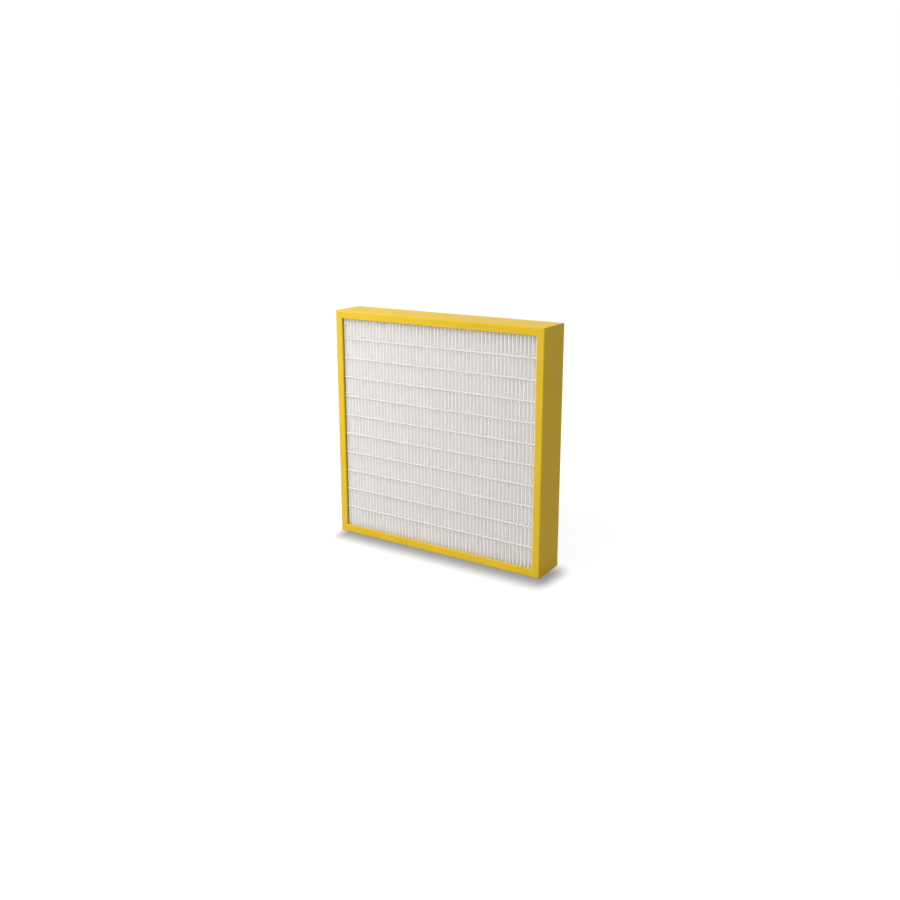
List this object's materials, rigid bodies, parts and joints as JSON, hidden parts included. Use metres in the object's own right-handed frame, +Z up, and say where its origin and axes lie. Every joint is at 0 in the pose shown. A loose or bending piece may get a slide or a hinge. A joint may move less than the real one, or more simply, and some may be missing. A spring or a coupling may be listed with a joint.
{
  "type": "pleated air filter",
  "caption": "Square panel air filter: a pleated white paper pack with level glue beads, bonded into a frame of mitred yellow plastic profiles.",
  "frame": {"origin": "on the floor, under the middle of the filter", "axes": "+X along the width, +Y from the front face to the back face, +Z up"},
  "size_m": [0.592, 0.1, 0.592],
  "materials": {
    "frame_plastic": "smooth satin yellow plastic",
    "filter_paper": "soft white fibre paper",
    "glue_bead": "smooth white hot-melt glue",
    "sealant": "smooth cast sealant"
  },
  "bodies": {
    "root": {"frame_bottom": "frame_plastic", "frame_top": "frame_plastic", "frame_left": "frame_plastic", "frame_right": "frame_plastic", "sealant_bottom": "sealant", "sealant_top": "sealant", "sealant_left": "sealant", "sealant_right": "sealant", "media_pack": "filter_paper", "bead_front_01": "glue_bead", "bead_front_02": "glue_bead", "bead_front_03": "glue_bead", "bead_front_04": "glue_bead", "bead_front_05": "glue_bead", "bead_front_06": "glue_bead", "bead_front_07": "glue_bead", "bead_front_08": "glue_bead", "bead_front_09": "glue_bead", "bead_front_10": "glue_bead", "bead_back_01": "glue_bead", "bead_back_02": "glue_bead", "bead_back_03": "glue_bead", "bead_back_04": "glue_bead", "bead_back_05": "glue_bead", "bead_back_06": "glue_bead", "bead_back_07": "glue_bead", "bead_back_08": "glue_bead", "bead_back_09": "glue_bead", "bead_back_10": "glue_bead"}
  },
  "joints": []
}
